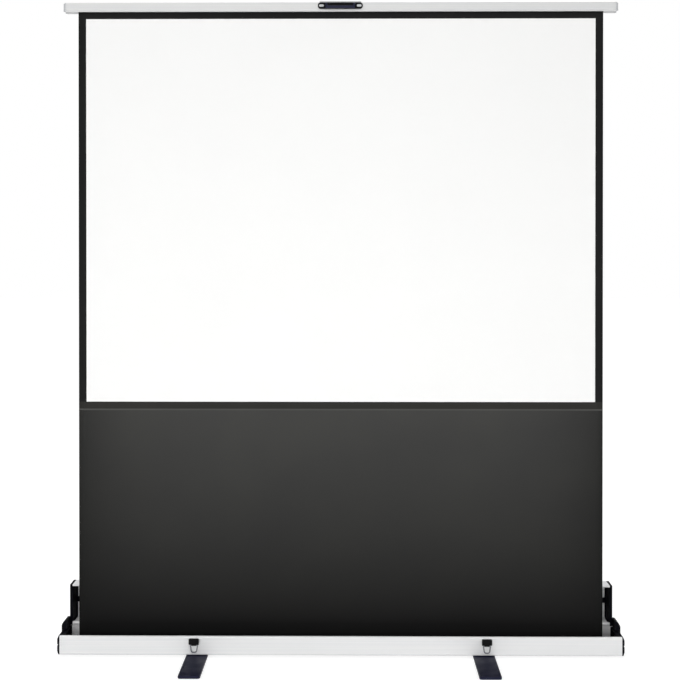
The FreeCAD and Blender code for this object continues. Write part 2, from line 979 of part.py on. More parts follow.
def shoe(x, pin_z, arm_y, surface_z):
    up = 1 if pin_z > surface_z else -1
    y = arm_y + arm_thickness / 2
    start = surface_z + up * gap
    head_end = surface_z + up * (rail_web_height + rail_head_thickness + gap)
    roof = head_end + up * shoe_roof
    x0 = x - shoe_half_length
    x1 = x + shoe_half_length
    body = block(x0, x1, y - shoe_half_depth, y + shoe_half_depth, start, roof)
    slot_head = block(
        x0,
        x1,
        y - rail_head_width / 2 - gap,
        y + rail_head_width / 2 + gap,
        surface_z + up * (rail_web_height - gap),
        head_end,
    )
    slot_web = block(
        x0,
        x1,
        y - rail_web_width / 2 - gap,
        y + rail_web_width / 2 + gap,
        surface_z,
        head_end,
    )
    body = body.cut([slot_head, slot_web])
    shapes = [body]
    front = arm_y - gap - clevis_wall
    back = arm_y + arm_thickness + gap
    low = roof - up * fit
    for near in (front, back):
        shapes.append(joined([
            rod_y(near, near + clevis_wall, x, pin_z, cheek_radius),
            block(x - cheek_radius, x + cheek_radius, near, near + clevis_wall, low, pin_z),
        ]))
    return joined(shapes).cut(rod_y(front, back + clevis_wall, x, pin_z, pin_radius + fit))


# Top bar
def top_bar():
    lip_z = bar_bottom + bar_lip_height
    outer = extrude_x(
        [
            (bar_front - bar_lip_depth, bar_bottom, bar_lip_depth),
            (bar_rear, bar_bottom, bar_lip_depth),
            (bar_rear, bar_top, bar_corner),
            (bar_front, bar_top, bar_corner),
            (bar_front, lip_z, 0),
            (bar_front - bar_lip_depth, lip_z - bar_lip_depth, 0),
        ],
        -bar_length / 2,
        bar_length / 2,
    )
    keder_z = bar_bottom + bar_wall + keder_radius
    partition = fabric_y + keder_radius + bar_wall
    roof = bar_top - bar_wall
    rear_end = bar_rear - bar_wall
    corner = bar_corner - bar_wall
    rear_hollow = extrude_x(
        rectangle(partition, rear_end, bar_bottom + bar_wall, roof, corner),
        -bar_length / 2,
        bar_length / 2,
    )
    front_floor = keder_z + keder_radius + bar_wall
    front_hollow = extrude_x(
        rectangle(bar_front + bar_wall, partition - bar_wall, front_floor, roof, corner),
        -bar_length / 2,
        bar_length / 2,
    )
    keder = rod_x(-bar_length / 2, bar_length / 2, fabric_y, keder_z, keder_radius)
    slot = block(
        -bar_length / 2,
        bar_length / 2,
        fabric_y - keder_slot / 2,
        fabric_y + keder_slot / 2,
        bar_bottom - overrun,
        keder_z,
    )
    return outer.cut([rear_hollow, front_hollow, keder, slot])


def right_bar_cap():
    start = bar_length / 2
    end = start + bar_cap_thickness
    plate = extrude_x(
        [
            (bar_front - bar_lip_depth, bar_bottom, bar_lip_depth),
            (bar_rear, bar_bottom, bar_lip_depth),
            (bar_rear, bar_top, bar_corner),
            (bar_front - bar_lip_depth, bar_top, bar_corner),
        ],
        start,
        end,
    )
    low_edge = [
        edge for edge in plate.Edges
        if edge.BoundBox.XMin > end - fit and edge.BoundBox.ZMax < bar_bottom + fit
    ]
    plate = plate.makeChamfer(bar_cap_corner, low_edge)
    partition = fabric_y + keder_radius + bar_wall
    spigot = extrude_x(
        rectangle(
            partition + fit,
            bar_rear - bar_wall - fit,
            bar_bottom + bar_wall + fit,
            bar_top - bar_wall - fit,
            bar_corner - bar_wall,
        ),
        start - bar_cap_spigot,
        start,
    )
    return joined([plate, spigot])


def fabric_batten():
    half = fabric_width / 2
    return rod_x(-half, half, fabric_y, bar_bottom + bar_wall + keder_radius, batten_radius)


def top_track():
    x0 = fixed_pin_x - clevis_half_length - track_rear
    x1 = folded_shoe_x + rail_end_margin
    rear = rear_arm_y + arm_thickness + clevis_wall + track_rear
    roof = block(x0, x1, bar_rear, rear, track_bottom, bar_top)
    flange = block(x0, x1, bar_rear, bar_rear + track_flange_thickness, bar_top - track_flange, bar_top)
    hook = block(x0, x1, rear - track_flange_thickness, rear, track_bottom - track_rear / 2, bar_top)
    start, end = rail_span()
    runner = rail(start, end, rear_arm_y + arm_thickness / 2, track_bottom, -1)
    holes = [
        rod_y(bar_rear - overrun, bar_rear + overrun, x, z, base_screw_radius + fit)
        for x, z in track_screw_places()
    ]
    return joined([roof, flange, hook, runner]).cut(holes)


def track_screw_places():
    step = (folded_shoe_x - fixed_pin_x) / (track_screw_count - 1)
    z = bar_top - track_flange / 2
    return [(fixed_pin_x + index * step, z) for index in range(track_screw_count)]


def track_screws():
    shapes = []
    for x, z in track_screw_places():
        one = screw(
            base_screw_radius,
            base_screw_head_radius,
            base_screw_head_height,
            track_flange_thickness,
        )
        shapes.append(aimed(one, Vector(0, 1, 0), Vector(x, bar_rear, z)))
    return group(shapes)


# Handle
def handle_base():
    half = handle_width / 2
    low = handle_z - handle_height / 2
    high = handle_z + handle_height / 2
    end_radius = handle_height / 2 * handle_end_share
    plate = extrude_y(rectangle(-half, half, low, high, end_radius), handle_front, bar_front)
    shapes = [plate]
    for side in (-1, 1):
        inner = side * lug_inset
        outer = side * (lug_inset + lug_thickness)
        eye = rod_x(inner, outer, grip_axis_y, grip_axis_z, lug_radius)
        top = grip_axis_z + lug_radius
        web = block(inner, outer, grip_axis_y, handle_front, grip_axis_z - lug_radius, top)
        shapes.append(joined([eye, web]))
    half_pin = lug_inset + lug_thickness
    return joined(shapes).cut(rod_x(-half_pin, half_pin, grip_axis_y, grip_axis_z, grip_pin_radius + fit))


def grip_pins():
    shapes = []
    for side in (-1, 1):
        outer = side * (lug_inset + lug_thickness)
        inner = side * (lug_inset - gap - grip_arm)
        shapes.append(rod_x(inner, outer, grip_axis_y, grip_axis_z, grip_pin_radius))
    return group(shapes)


def handle_grip():
    half = lug_inset - gap
    low = handle_z - handle_height / 2 + handle_drop
    front = grip_axis_y - grip_depth / 2
    back = grip_axis_y + lug_radius
    profile = rectangle(front, back, low, low + grip_height, grip_height / 3)
    shapes = [extrude_x(profile, -half, half)]
    for side in (-1, 1):
        outer = side * half
        inner = side * (half - grip_arm)
        eye = rod_x(inner, outer, grip_axis_y, grip_axis_z, lug_radius)
        web = block(inner, outer, grip_axis_y - lug_radius, back, low + grip_height / 2, grip_axis_z)
        shapes.append(joined([eye, web]))
    return joined(shapes).cut(rod_x(-half, half, grip_axis_y, grip_axis_z, grip_pin_radius + fit))


def handle_rivets():
    shapes = []
    for side in (-1, 1):
        centre = side * rivet_spread
        reach = (rivet_width - rivet_height) / 2
        points = slot_points(centre - reach, centre + reach, handle_z, rivet_height / 2)
        shapes.append(extrude_y(points, handle_front - rivet_thickness, handle_front))
    return group(shapes)


def handle_saddle():
    half = saddle_width / 2
    points = rectangle(-half, half, bar_front, bar_front + saddle_depth, saddle_corner)
    plate = extrude_z(points, bar_top, bar_top + saddle_thickness)
    top_edges = [edge for edge in plate.Edges if edge.BoundBox.ZMin > bar_top + saddle_thickness - fit]
    return plate.makeFillet(saddle_thickness / 2, top_edges)


# Screen fabric, from the roller up into the bar's groove
def screen_fabric():
    half = fabric_width / 2
    front = fabric_y - fabric_thickness / 2
    top = bar_bottom + bar_wall + keder_radius - batten_radius - gap
    return block(-half, half, front, front + fabric_thickness, roller_z, top)


# Lid, standing open behind the screen
def lid_shell():
    outer = [
        (lid_front, lid_top, lid_wall / 2),
        (lid_rear, lid_top, lid_corner),
        (lid_rear, lid_bottom, lid_corner),
        (hinge_y, lid_bottom, 0),
        (hinge_y, lid_bottom + hinge_neck, 0),
        (lid_rear - lid_wall, lid_bottom + hinge_neck, lid_corner - lid_wall),
        (lid_rear - lid_wall, lid_top - lid_wall, lid_corner - lid_wall),
        (lid_front + lid_wall, lid_top - lid_wall, 0),
        (lid_front + lid_wall, lid_top - lid_lip, 0),
        (lid_front, lid_top - lid_lip, 0),
    ]
    skin = extrude_x(outer[::-1], -lid_shell_end, lid_shell_end)
    bead = rod_x(-lid_shell_end, lid_shell_end, hinge_y, hinge_z, hinge_bead_radius)
    shapes = [skin, bead]
    floor_z = lid_bottom + hinge_neck
    for index in range(lid_rib_count):
        y = lid_rear - lid_corner - index * lid_rib_pitch
        rib_top = floor_z + lid_rib_height
        shapes.append(block(-lid_shell_end, lid_shell_end, y - lid_rib_width, y, floor_z - fit, rib_top))
    return joined(shapes)


def right_lid_cap():
    axis_clear = hinge_channel_radius
    points = [
        (lid_front, lid_top, lid_wall / 2),
        (lid_rear, lid_top, lid_corner),
        (lid_rear, lid_bottom, lid_corner),
        (hinge_y + axis_clear, lid_bottom, 0),
        (hinge_y, hinge_z - axis_clear, 0),
        (hinge_y - axis_clear, hinge_z, 0),
        (lid_front, hinge_z + 2 * axis_clear, 0),
    ]
    plate = extrude_x(points[::-1], lid_shell_end, lid_end)
    eye = rod_x(lid_shell_end, lid_end, hinge_y, hinge_z, axis_clear)
    inner_y = lid_rear - lid_wall
    inner_top = lid_top - lid_wall
    inner_low = lid_bottom + hinge_neck + lid_rib_height
    spigot_outer = extrude_x(
        rectangle(hinge_y + axis_clear + gap, inner_y, inner_low, inner_top, lid_corner - lid_wall),
        lid_shell_end - lid_cap_spigot,
        lid_shell_end,
    )
    spigot_inner = block(
        lid_shell_end - lid_cap_spigot - overrun,
        lid_shell_end,
        lid_front - overrun,
        inner_y - lid_cap_wall,
        inner_low + lid_cap_wall,
        inner_top - lid_cap_wall,
    )
    middle = (lid_bottom + lid_top) / 2
    boss = block(
        lid_shell_end - lid_boss_length,
        lid_shell_end,
        inner_y - lid_boss_depth,
        inner_y,
        middle - lid_boss_height / 2,
        middle + lid_boss_height / 2,
    )
    cap = joined([plate, eye, spigot_outer.cut(spigot_inner), boss])
    return cap.cut(rod_x(lid_shell_end, lid_end, hinge_y, hinge_z, hinge_pin_radius + fit))


def hinge_pins():
    pin = rod_x(lid_shell_end + fit, ear_inner + hinge_pin_reach, hinge_y, hinge_z, hinge_pin_radius)
    return group([pin, mirrored(pin)])


# Hooks on the lid's front wall, which lies on top while the lid stands open
def latch_keepers():
    shapes = []
    for side in (-1, 1):
        x = side * latch_spread
        y = lid_front + keeper_depth
        points = [
            (y - keeper_depth / 2, lid_top, 0),
            (y + keeper_depth / 2, lid_top, 0),
            (y + keeper_depth / 2 + keeper_hook, lid_top + keeper_height, 0),
            (y, lid_top + keeper_height, 0),
            (y - keeper_depth / 2, lid_top + keeper_height / 2, 0),
        ]
        shapes.append(extrude_x(points, x - keeper_width / 2, x + keeper_width / 2))
    return group(shapes)


# Nodes of the fixed base
save("base_tray", base_tray())
right_cap = right_base_cap()
save("base_end_cap_right", right_cap)
save("base_end_cap_left", mirrored(right_cap))
save("base_screws", group(base_cap_screws() + bracket_screws()))
save("foot_pivot_bolts", foot_bolts())
save("foot_pivot_washers", foot_washers())
for side_name, side in (("left", -1), ("right", 1)):
    save("latch_base_" + side_name, latch_base(side * latch_spread))
save("latch_rivets", latch_rivets())
save("latch_lever_pins", group([lever_pin(side * latch_spread) for side in (-1, 1)]))
save("roller_bracket_left", roller_bracket(-1, spindle_hole()))
save("roller_bracket_right", roller_bracket(1, bush_hole()))
save("roller_bush", bearing_bush())
save("spring_spindle", spring_spindle())
save("torsion_spring", torsion_spring())
save("scissor_base_bracket", clevis(fixed_pin_x, base_pin_z, rear_arm_y, floor_top, clevis_half_length))
save("scissor_base_pin", clevis_rivet(fixed_pin_x, base_pin_z, rear_arm_y))
start, end = rail_span()
save("base_rail", rail(start, end, rail_y, floor_top, 1))
save("screen_fabric", screen_fabric())

# Roller
save("roller_tube", roller_tube())
save("wound_fabric", wound_fabric())
save("roller_plug_left", roller_plug(-1, spindle_radius + fit))
save("roller_plug_right", right_plug())

# Scissor
save("lower_fixed_arm", arm(fixed_pin_x, base_pin_z, raised_angle, rear_arm_y))
save("lower_sliding_arm", arm(shoe_x, base_pin_z, 180 - raised_angle, front_arm_y))
save("upper_fixed_arm", arm(shoe_x, knee_z, 180 - raised_angle, front_arm_y))
save("upper_sliding_arm", arm(fixed_pin_x, knee_z, raised_angle, rear_arm_y))
lower_centre_z = (base_pin_z + knee_z) / 2
upper_centre_z = (knee_z + top_pin_z) / 2
lower_places = [(centre_pin_x, lower_centre_z), (shoe_x, knee_z)]
upper_places = [(fixed_pin_x, knee_z), (centre_pin_x, upper_centre_z)]
upper_shoe_pin = clevis_rivet(shoe_x, top_pin_z, rear_arm_y)
save("lower_pivot_pins", group([cross_rivet(x, z) for x, z in lower_places]))
save("upper_pivot_pins", group([cross_rivet(x, z) for x, z in upper_places] + [upper_shoe_pin]))
save("lower_friction_discs", group([friction_disc(x, z) for x, z in lower_places]))
save("upper_friction_discs", group([friction_disc(x, z) for x, z in upper_places]))
save("lower_shoe", shoe(shoe_x, base_pin_z, front_arm_y, floor_top))
save("lower_shoe_pin", clevis_rivet(shoe_x, base_pin_z, front_arm_y))
save("upper_shoe", shoe(shoe_x, top_pin_z, rear_arm_y, track_bottom))

# Top bar
save("top_bar", top_bar())
bar_cap = right_bar_cap()
save("top_bar_cap_right", bar_cap)
save("top_bar_cap_left", mirrored(bar_cap))
save("fabric_batten", fabric_batten())
save("top_track", top_track())
save("track_screws", track_screws())
save("scissor_top_bracket", clevis(fixed_pin_x, top_pin_z, front_arm_y, track_bottom, clevis_half_length))
save("scissor_top_pin", clevis_rivet(fixed_pin_x, top_pin_z, front_arm_y))
save("handle_base", handle_base())
save("handle_rivets", handle_rivets())
save("handle_saddle", handle_saddle())
save("handle_grip", handle_grip())
save("handle_grip_pins", grip_pins())

# Feet, levers and wire rings
for side_name, side in (("left", -1), ("right", 1)):
    save("foot_" + side_name, foot(side * foot_spread))
    save("foot_pads_" + side_name, foot_pads(side * foot_spread))
    save("latch_lever_" + side_name, latch_lever(side * latch_spread))
    save("latch_bail_" + side_name, latch_bail(side * latch_spread))

# Lid
save("lid_shell", lid_shell())
lid_cap = right_lid_cap()
save("lid_end_cap_right", lid_cap)
save("lid_end_cap_left", mirrored(lid_cap))
save("lid_hinge_pins", hinge_pins())
save("latch_keepers", latch_keepers())
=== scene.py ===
import math

import bmesh
import bpy
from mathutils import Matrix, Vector


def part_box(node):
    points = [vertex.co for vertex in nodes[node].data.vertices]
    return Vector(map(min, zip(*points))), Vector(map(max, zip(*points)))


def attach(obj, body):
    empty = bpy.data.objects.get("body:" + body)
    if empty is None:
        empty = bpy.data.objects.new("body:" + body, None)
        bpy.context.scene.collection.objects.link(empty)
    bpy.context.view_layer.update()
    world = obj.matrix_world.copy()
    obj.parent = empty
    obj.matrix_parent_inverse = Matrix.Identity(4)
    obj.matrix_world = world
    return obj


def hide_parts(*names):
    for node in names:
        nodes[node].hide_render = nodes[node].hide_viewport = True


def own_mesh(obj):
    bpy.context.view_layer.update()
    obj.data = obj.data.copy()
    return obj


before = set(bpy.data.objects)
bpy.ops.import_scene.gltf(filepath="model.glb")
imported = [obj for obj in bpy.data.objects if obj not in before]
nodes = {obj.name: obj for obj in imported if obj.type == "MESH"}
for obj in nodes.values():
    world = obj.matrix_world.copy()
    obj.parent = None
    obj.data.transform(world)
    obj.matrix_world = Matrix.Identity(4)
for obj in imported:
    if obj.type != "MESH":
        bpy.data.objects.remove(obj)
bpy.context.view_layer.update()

# Real sizes, in metres
MM = 0.001

# Cloth: height of the white area, and widths of the black borders round it
VIEW_HEIGHT = 1204 * MM
SIDE_BORDER = 24 * MM
TOP_BORDER = 21.5 * MM
FOOT_BORDER = 22 * MM

# Cells of the cloth's mesh: across the white area or the seam, and up each area
CLOTH_COLUMNS = 48
DROP_ROWS = 22
BORDER_ROWS = 2
VIEW_ROWS = 34

# Slight waves of the hanging cloth: depth, length, shift of the first one in radians, and the half turns
# by which they change over from the foot to the top
WAVE_DEPTH = 0.25 * MM
WAVE_LENGTH = 410 * MM
WAVE_SHIFT = 0.8
WAVE_SWING = 1.4

# Welded seam under the lower border: height, thickness, and the gap between its back and the cloth
SEAM_HEIGHT = 5 * MM
SEAM_THICKNESS = 0.3 * MM
SEAM_GAP = 0.05 * MM

# Dead turns on the roller: thickness of the coated cloth, gap to the tube, and turns and steps of the
# spiral. The turns lie half that gap apart.
WRAP_CLOTH = 0.45 * MM
WRAP_GAP = 0.06 * MM
WRAP_TURNS = 1.03
WRAP_STEPS = 96

# Angle of the scissor's arms over the floor when the screen is raised
RAISED_ANGLE = math.radians(62.3)

# Where the cloth and its areas lie, worked out from the pieces that hold it
cloth_low, cloth_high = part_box("screen_fabric")
cloth_height = cloth_high[2] - cloth_low[2]
half_width = cloth_high[0]
view_side = half_width - SIDE_BORDER
view_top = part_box("top_bar")[0][2] - TOP_BORDER
view_bottom = view_top - VIEW_HEIGHT
drop_top = view_bottom - FOOT_BORDER

# Weave of the cloth: a repeat of two threads of 0.6 mm, and the depth that shows through the coat
WEAVE_REPEAT = 1.2 * MM
WEAVE_DEPTH = 0.03 * MM

# Height over the cloth's foot up to which the drop's painted shade is at its darkest
SHADED_FOOT_HEIGHT = 62 * MM

# Rounding that the finishes give to sharp edges, and the rays that each point spends on it
EDGE_ROUND = 0.5 * MM
EDGE_SAMPLES = 4

# Most of a noise pattern lies between these two values
NOISE_SPAN = {"From Min": 0.3, "From Max": 0.7}

# Painted highlight and wear of a moulded edge: full where the rounded normal is well turned from the flat
# one, none where the two nearly agree
EDGE_HIGHLIGHT_AND_WEAR = {"From Min": 0.90, "From Max": 0.99, "To Min": 0.7, "To Max": 0.0}

# Pale floor: its size and how far it lies under the pads, its shade, and its glow for rays that see it
FLOOR_SIZE = 60.0
FLOOR_DROP = 0.2 * MM
FLOOR_SHADE = 0.45
FLOOR_GLOW = 0.75

# White room: light that falls on matt surfaces from the level of the horizon and from overhead, and
# brightness that polished ones mirror, from below the horizon up to overhead
DOME_LIGHT = {"From Min": 0.0, "From Max": 1.0, "To Min": 0.52, "To Max": 0.66}
MIRRORED_WALLS = {"From Min": -0.3, "From Max": 1.0, "To Min": 0.93, "To Max": 1.05}

# Camera: place in metres, turns in degrees, lens in millimetres, and the lens's shift as a share of the
# picture's width
CAMERA_HEIGHT = 1.280
CAMERA_DISTANCE = 4.128
CAMERA_OFFSET = 0.0397
CAMERA_YAW = 0.571
CAMERA_PITCH = 0.398
CAMERA_LENS = 68.90
CAMERA_SHIFT = -0.1194

# Numbers of the Mix node's sockets for colours
FIRST_COLOUR = 6
SECOND_COLOUR = 7
MIXED_COLOUR = 2

# Numbers of the Mix node's sockets for plain values
FIRST_VALUE = 2
SECOND_VALUE = 3


# Colours are sRGB hex values, and the shaders want linear numbers
def linear(hex_colour):
    channels = [int(hex_colour[k:k + 2], 16) / 255 for k in (0, 2, 4)]
    return tuple(c / 12.92 if c <= 0.04045 else ((c + 0.055) / 1.055) ** 2.4 for c in channels) + (1.0,)


# Adds a node with its settings. Its inputs go by name or number: a socket is linked, a value is set.
def add(tree, kind, inputs=None, **settings):
    node = tree.nodes.new(kind)
    for name, value in settings.items():
        setattr(node, name, value)
    for key, value in (inputs or {}).items():
        if isinstance(value, bpy.types.NodeSocket):
            tree.links.new(value, node.inputs[key])
        else:
            node.inputs[key].default_value = value
    return node


def new_material(name):
    material = bpy.data.materials.new(name)
    material.use_nodes = True
    material.node_tree.nodes.clear()
    return material, material.node_tree


# Surface shader with these inputs, joined to the material's output
def shade_surface(tree, inputs):
    shader = add(tree, "ShaderNodeBsdfPrincipled", inputs)
    add(tree, "ShaderNodeOutputMaterial", {"Surface": shader.outputs["BSDF"]})


# Noise whose patches have the given size along x, y and z in millimetres, turned about y if asked
def pattern(tree, patch_size, detail=2.0, roughness=0.5, turn=0.0):
    place = add(tree, "ShaderNodeTexCoord").outputs["Object"]
    turned = add(
        tree, "ShaderNodeMapping", {"Vector": place, "Rotation": (0.0, turn, 0.0)},
        vector_type="TEXTURE",
    ).outputs["Vector"]
    scaled = add(
        tree, "ShaderNodeMapping",
        {"Vector": turned, "Scale": [1 / (MM * size) for size in patch_size]},
    ).outputs["Vector"]
    return add(
        tree, "ShaderNodeTexNoise",
        {"Vector": scaled, "Scale": 1.0, "Detail": detail, "Roughness": roughness},
    ).outputs["Fac"]


# Colour that goes from one tone to another where the pattern rises
def two_tone(tree, height, colour, shade):
    share = add(tree, "ShaderNodeMapRange", {"Value": height, **NOISE_SPAN}).outputs["Result"]
    return add(
        tree, "ShaderNodeMix",
        {"Factor": share, FIRST_COLOUR: linear(colour), SECOND_COLOUR: linear(shade)},
        data_type="RGBA",
    ).outputs[MIXED_COLOUR]


# Normal of a surface with rounded edges and the pattern's bumps on it
def surface_normal(tree, height, depth):
    rounded = add(tree, "ShaderNodeBevel", {"Radius": EDGE_ROUND}, samples=EDGE_SAMPLES)
    return add(
        tree, "ShaderNodeBump",
        {"Height": height, "Distance": depth, "Strength": 1.0, "Normal": rounded.outputs["Normal"]},
    ).outputs["Normal"]


# Extruded aluminium: faint lines along the profile, left by the die. They are about 0.3 mm apart, and
# broader bands of 5 mm beside them are drawn coarse so that they show.
def extruded_aluminium(name, colour, shade, gloss, metal, turn=0.0):
    material, tree = new_material(name)
    die_lines = pattern(tree, (400, 0.3, 0.3), detail=3.0, turn=turn)
    bands = pattern(tree, (900, 5.0, 5.0), turn=turn)
    dulled = add(
        tree, "ShaderNodeMapRange",
        {"Value": die_lines, "To Min": gloss - 0.05, "To Max": gloss + 0.06, **NOISE_SPAN},
    )
    shade_surface(tree, {
        "Base Color": two_tone(tree, bands, colour, shade),
        "Metallic": metal,
        "Roughness": dulled.outputs["Result"],
        "Normal": surface_normal(tree, die_lines, depth=0.01 * MM),
    })
    return material


# Satin anodised: pale silver. The etched oxide layer scatters part of the light, so the clear finish
# isn't all mirror.
def satin_anodised(name, colour, shade, gloss):
    return extruded_aluminium(name, colour, shade, gloss, metal=0.4)


# Bare as it leaves the die: greyer, with the full gloss of metal
def mill_finish(name, turn=0.0):
    return extruded_aluminium(name, "CBCDD0", "BDBFC3", gloss=0.45, metal=1.0, turn=turn)


# Injection-moulded plastic: eroded texture, softly clouded gloss, and edges painted a little paler, a
# painted highlight with some wear. The texture is finer in truth and is drawn at 0.5 mm so that it shows
# close by.
def moulded_plastic(name, colour, edge_colour, roughness, specular):
    material, tree = new_material(name)
    texture = pattern(tree, (0.5, 0.5, 0.5), detail=3.0, roughness=0.6)
    clouds = pattern(tree, (35, 35, 35))
    dulled = add(
        tree, "ShaderNodeMapRange",
        {"Value": clouds, "To Min": roughness - 0.05, "To Max": roughness + 0.08, **NOISE_SPAN},
    )
    # The rounded normal turns away from the flat one at edges, and the painted highlight and wear go by
    # how far it turns
    rounded = add(tree, "ShaderNodeBevel", {"Radius": 2 * EDGE_ROUND}, samples=EDGE_SAMPLES)
    flat = add(tree, "ShaderNodeNewGeometry")
    facing = add(
        tree, "ShaderNodeVectorMath", {0: rounded.outputs["Normal"], 1: flat.outputs["Normal"]},
        operation="DOT_PRODUCT",
    )
    highlight_and_wear = add(tree, "ShaderNodeMapRange", {"Value": facing.outputs["Value"], **EDGE_HIGHLIGHT_AND_WEAR})
    tint = add(
        tree, "ShaderNodeMix",
        {
            "Factor": highlight_and_wear.outputs["Result"],
            FIRST_COLOUR: linear(colour),
            SECOND_COLOUR: linear(edge_colour),
        },
        data_type="RGBA",
    )
    shade_surface(tree, {
        "Base Color": tint.outputs[MIXED_COLOUR],
        "Roughness": dulled.outputs["Result"],
        "IOR": 1.5,
        "Specular IOR Level": specular,
        "Normal": surface_normal(tree, texture, depth=0.02 * MM),
    })
    return material


# Steel with a zinc plate or a film of oil: cool grey with faint clouds from the bath. The grain is finer
# in truth and is drawn at 0.8 mm so that it shows close by.
def plated_steel(name, colour, shade, roughness):
    material, tree = new_material(name)
    clouds = pattern(tree, (14, 14, 14), detail=4.0, roughness=0.6)
    grain = pattern(tree, (0.8, 0.8, 0.8))
    dulled = add(
        tree, "ShaderNodeMapRange",
        {"Value": clouds, "To Min": roughness - 0.06, "To Max": roughness + 0.1, **NOISE_SPAN},
    )
    shade_surface(tree, {
        "Base Color": two_tone(tree, clouds, colour, shade),
        "Metallic": 1.0,
        "Roughness": dulled.outputs["Result"],
        "Normal": surface_normal(tree, grain, depth=0.01 * MM),
    })
    return material


# Moulded nylon: milky white, half matt, with a little light passing into it
def moulded_nylon(name):
    material, tree = new_material(name)
    clouds = pattern(tree, (9, 9, 9), detail=3.0)
    shade_surface(tree, {
        "Base Color": two_tone(tree, clouds, "E3E0D6", "D6D2C6"),
        "Roughness": 0.42,
        "IOR": 1.53,
        "Subsurface Weight": 0.1,
        "Subsurface Radius": (4 * MM, 4 * MM, 3 * MM),
        "Normal": surface_normal(tree, clouds, depth=0.02 * MM),
    })
    return material


# Moulded rubber: matt black, bloomed grey in places, with the mould's grain drawn at 0.7 mm
def moulded_rubber(name):
    material, tree = new_material(name)
    bloom = pattern(tree, (12, 12, 12), detail=3.0)
    grain = pattern(tree, (0.7, 0.7, 0.7))
    shade_surface(tree, {
        "Base Color": two_tone(tree, bloom, "1B1B1C", "2A2A2B"),
        "Roughness": 0.82,
        "IOR": 1.52,
        "Normal": surface_normal(tree, grain, depth=0.05 * MM),
    })
    return material


# Share that rises from 0 at the start to 1 at the end, by a power
def eased_share(tree, value, start, end, power):
    share = add(tree, "ShaderNodeMapRange", {"Value": value, "From Min": start, "From Max": end})
    eased = add(tree, "ShaderNodeMath", {0: share.outputs["Result"], 1: power}, operation="POWER")
    return eased.outputs["Value"]


# Painted shade: the drop's colour is darkened towards the case and towards its side hems, where the cloth
# gets less light
def painted_drop_shade(tree, tint):
    place = add(tree, "ShaderNodeTexCoord").outputs["Object"]
    parts = add(tree, "ShaderNodeSeparateXYZ", {"Vector": place})
    lit = eased_share(tree, parts.outputs["Z"], cloth_low[2] + SHADED_FOOT_HEIGHT, drop_top, power=0.77)
    # Painted shade towards the foot: the colour falls from the tint to 060606 low on the drop
    foot_shaded = add(
        tree, "ShaderNodeMix", {"Factor": lit, FIRST_COLOUR: linear("060606"), SECOND_COLOUR: tint},
        data_type="RGBA",
    )
    # Painted shade towards the side hems: up to half black at the very edge
    from_middle = add(tree, "ShaderNodeMath", {0: parts.outputs["X"]}, operation="ABSOLUTE")
    hem = eased_share(tree, from_middle.outputs["Value"], 0.0, half_width, power=6)
    half_hem_shade = add(tree, "ShaderNodeMath", {0: hem, 1: 0.5}, operation="MULTIPLY")
    hem_shaded = add(
        tree, "ShaderNodeMix",
        {
            "Factor": half_hem_shade.outputs["Value"],
            FIRST_COLOUR: foot_shaded.outputs[MIXED_COLOUR],
            SECOND_COLOUR: linear("000000"),
        },
        data_type="RGBA",
    )
    return hem_shaded.outputs[MIXED_COLOUR]


# PVC-coated glass cloth: matt, with the weave just pressing through the coat
def coated_cloth(name, colour, shade, roughness, specular, with_drop_shade=False):
    material, tree = new_material(name)
    place = add(tree, "ShaderNodeTexCoord").outputs["Object"]
    phase = add(tree, "ShaderNodeMapping", {"Vector": place, "Scale": [2 * math.pi / WEAVE_REPEAT] * 3})
    threads = add(tree, "ShaderNodeSeparateXYZ", {"Vector": phase.outputs["Vector"]})
    weft = add(tree, "ShaderNodeMath", {0: threads.outputs["X"]}, operation="SINE")
    warp = add(tree, "ShaderNodeMath", {0: threads.outputs["Z"]}, operation="SINE")
    weave = add(
        tree, "ShaderNodeMath", {0: weft.outputs["Value"], 1: warp.outputs["Value"]},
        operation="MULTIPLY",
    )
    pressed = add(
        tree, "ShaderNodeBump",
        {"Height": weave.outputs["Value"], "Distance": WEAVE_DEPTH, "Strength": 1.0},
    )
    tint = two_tone(tree, pattern(tree, (260, 260, 260)), colour, shade)
    # The drop's tint gets painted shade towards its foot and its side hems
    if with_drop_shade:
        tint = painted_drop_shade(tree, tint)
    shade_surface(tree, {
        "Base Color": tint,
        "Roughness": roughness,
        "Specular IOR Level": specular,
        "Normal": pressed.outputs["Normal"],
    })
    return material


# Finishes of the CAD nodes, by the record's slots
finishes = {
    "clear_anodised_aluminium": satin_anodised("satin_anodised_extrusion", "E6E6E6", "E0E1E2", gloss=0.55),
    "mill_aluminium": mill_finish("mill_finish_tube"),
    "navy_plastic": moulded_plastic(
        "moulded_navy_polyamide", "080B26", "181B34", roughness=0.5, specular=0.24,
    ),
    "black_plastic": moulded_plastic(
        "moulded_black_polyamide", "040405", "111113", roughness=0.55, specular=0.16,
    ),
    "grey_plastic": moulded_plastic(
        "moulded_light_grey_plastic", "C9CBCD", "DADBDD", roughness=0.48, specular=0.5,
    ),
    "white_nylon": moulded_nylon("moulded_white_nylon"),
    "zinc_steel": plated_steel("zinc_plated_steel", "A9ADB3", "8F9399", roughness=0.34),
    "spring_steel": plated_steel("oiled_spring_steel", "55565A", "3E3F43", roughness=0.3),
    "black_rubber": moulded_rubber("moulded_black_rubber"),
}
for node in nodes.values():
    for slot in node.material_slots:
        if slot.material and slot.material.name in finishes:
            slot.material = finishes[slot.material.name]
